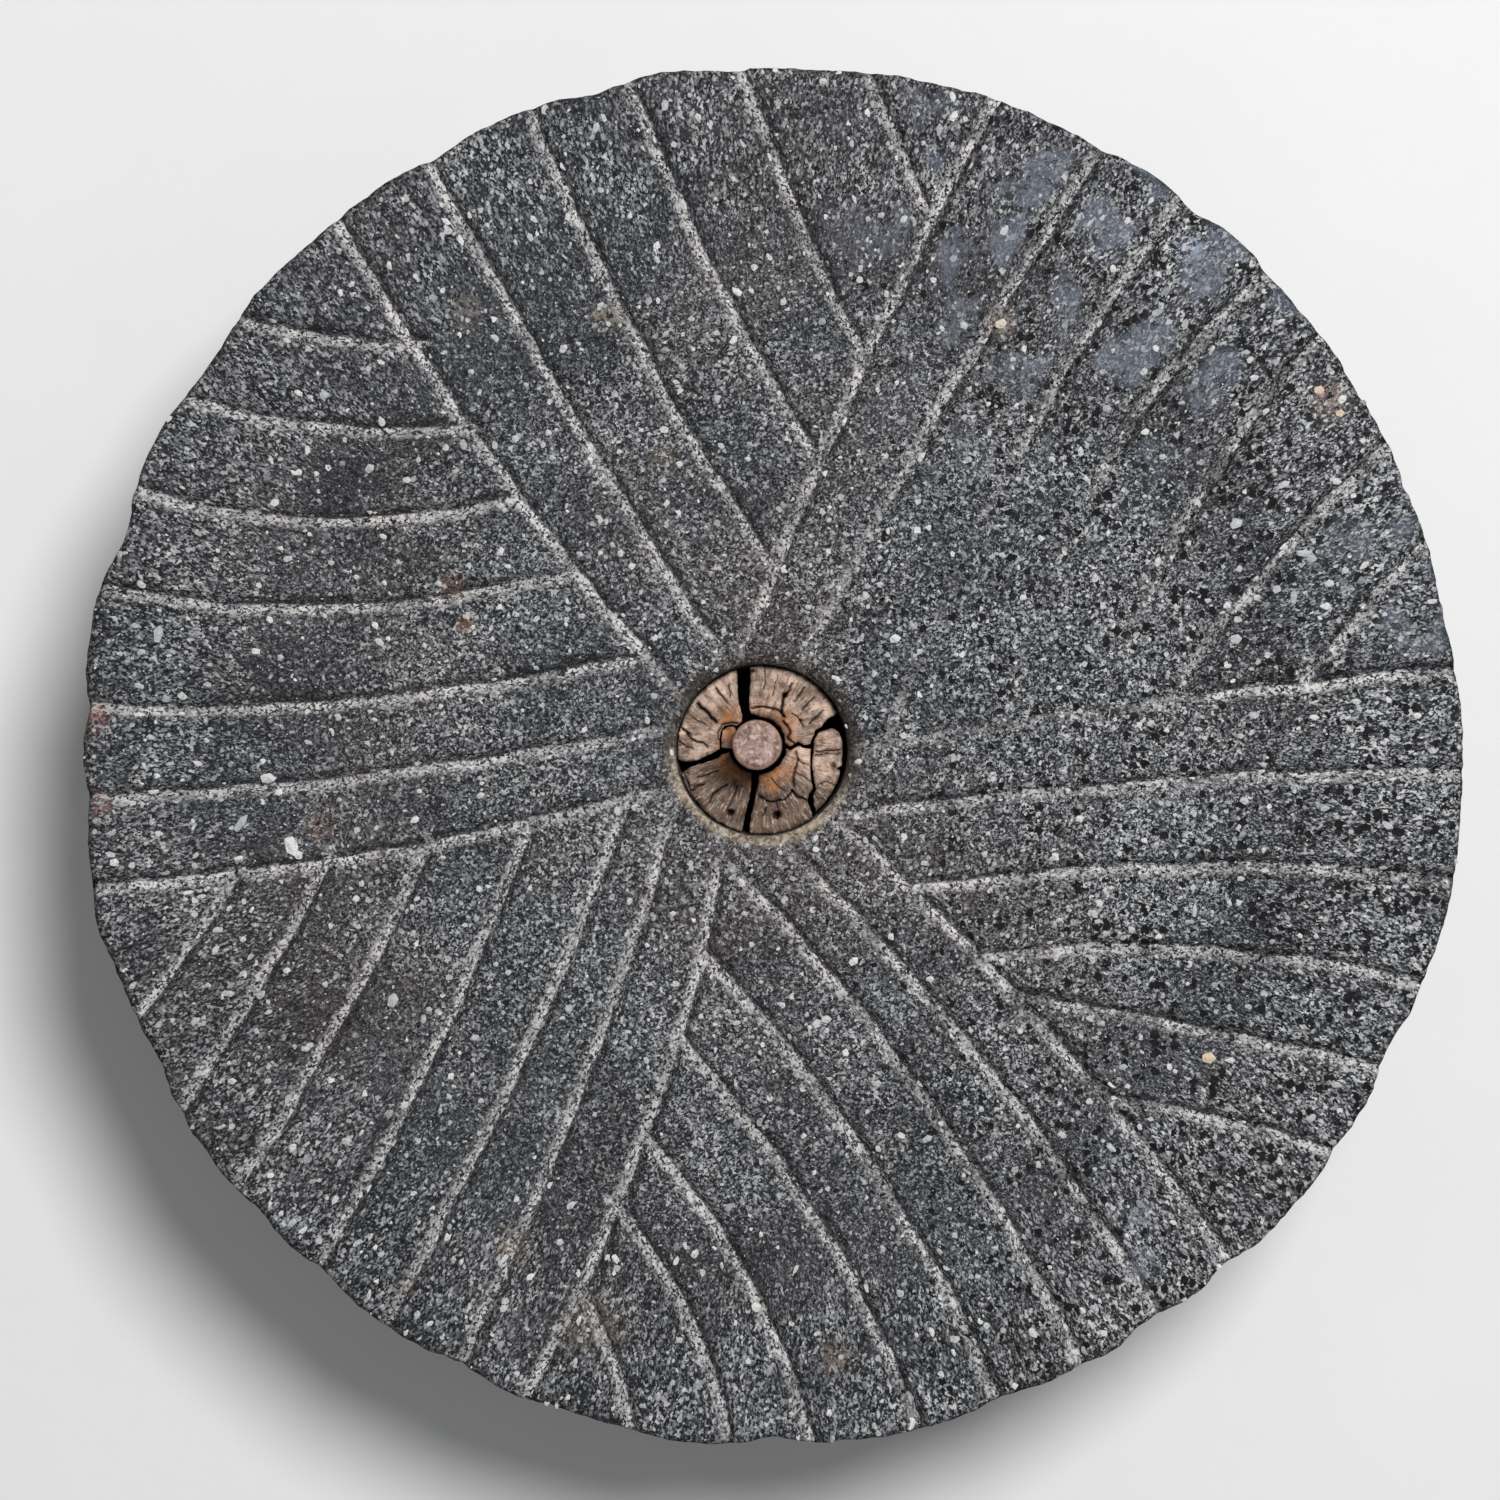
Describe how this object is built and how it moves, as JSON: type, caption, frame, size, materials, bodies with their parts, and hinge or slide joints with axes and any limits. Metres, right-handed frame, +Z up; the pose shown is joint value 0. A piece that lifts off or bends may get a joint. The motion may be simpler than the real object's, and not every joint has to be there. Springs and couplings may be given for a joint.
{
  "type": "quern bed stone",
  "caption": "Lower stone of a hand-turned rotary mill: a furrowed lava-stone disc with a split wooden plug in its eye and an upright iron spindle pin.",
  "frame": {"origin": "on the spindle pin's axis, in the plane of the underside", "axes": "+Z up out of the dressed face along the pin; +X and +Y to the right and up when the face is seen from above"},
  "size_m": [0.3028, 0.3028, 0.105],
  "materials": {
    "stone": "dressed lava stone with pale crystals",
    "iron": "forged, rusted brown",
    "plug_wood": "weathered end grain, dry and cracked",
    "wedge_wood": "weathered, rust stained"
  },
  "bodies": {
    "root": {"bed_stone": "stone", "spindle_pin": "iron", "pin_wedge": "wedge_wood", "plug_upper_right": "plug_wood", "plug_upper_left": "plug_wood", "plug_lower_left": "plug_wood", "plug_lower_right": "plug_wood", "plug_sliver": "plug_wood"}
  },
  "joints": []
}
